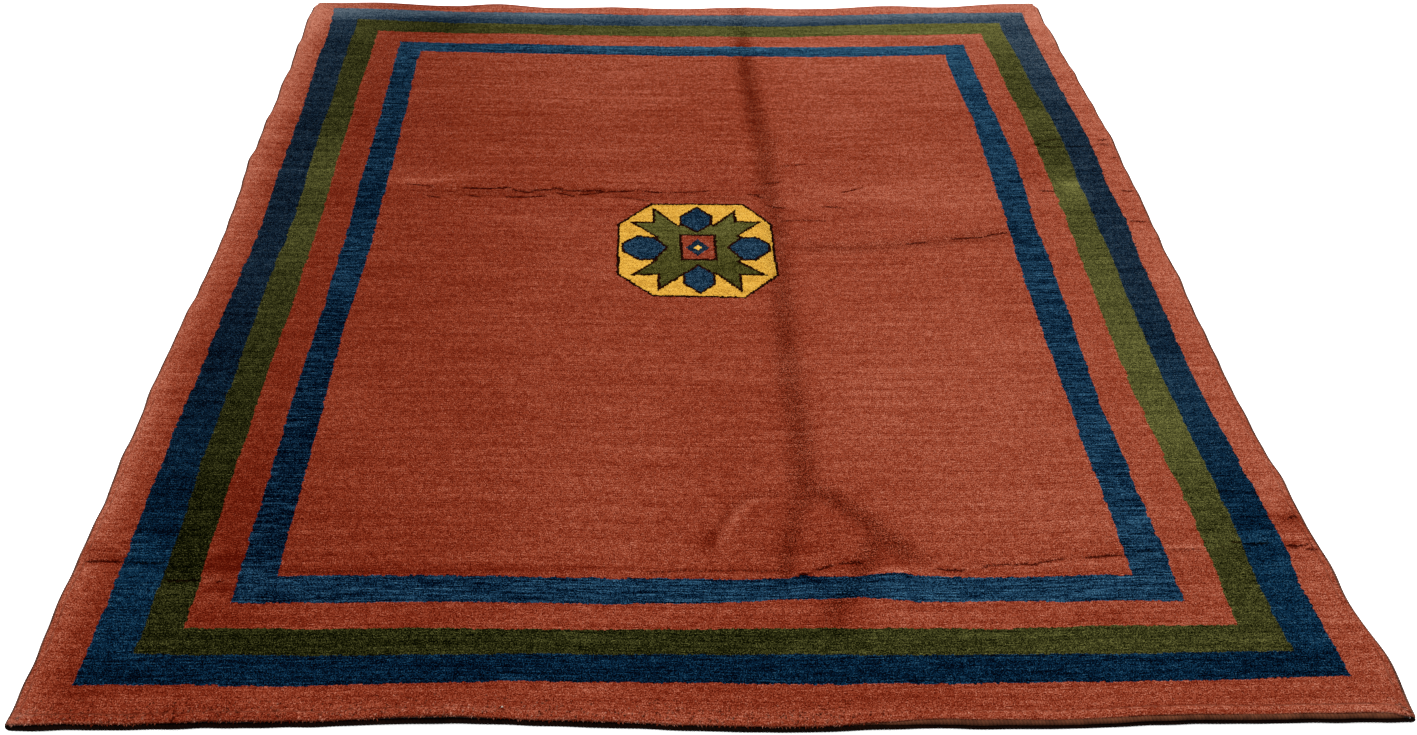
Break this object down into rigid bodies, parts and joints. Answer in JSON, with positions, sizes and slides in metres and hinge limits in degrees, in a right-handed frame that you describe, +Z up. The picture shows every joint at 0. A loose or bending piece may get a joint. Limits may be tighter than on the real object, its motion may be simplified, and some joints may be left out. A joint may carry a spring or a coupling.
{
  "type": "gabbeh rug",
  "caption": "Hand-knotted wool gabbeh rug with a plain field, nested border stripes and a star medallion, lying flat with soft fold marks.",
  "frame": {"origin": "middle of the rug's underside, on the floor that it lies on", "axes": "+Z up from the floor, +Y along the rug's length towards the far end, +X across its width to the right"},
  "size_m": [1.9972, 2.3962, 0.0213],
  "materials": {
    "wool_pile": "matte clipped wool pile",
    "selvedge_wool": "matte wrapped wool yarn"
  },
  "bodies": {
    "root": {"rug": "wool_pile", "selvedge_left": "selvedge_wool", "selvedge_right": "selvedge_wool"}
  },
  "joints": []
}
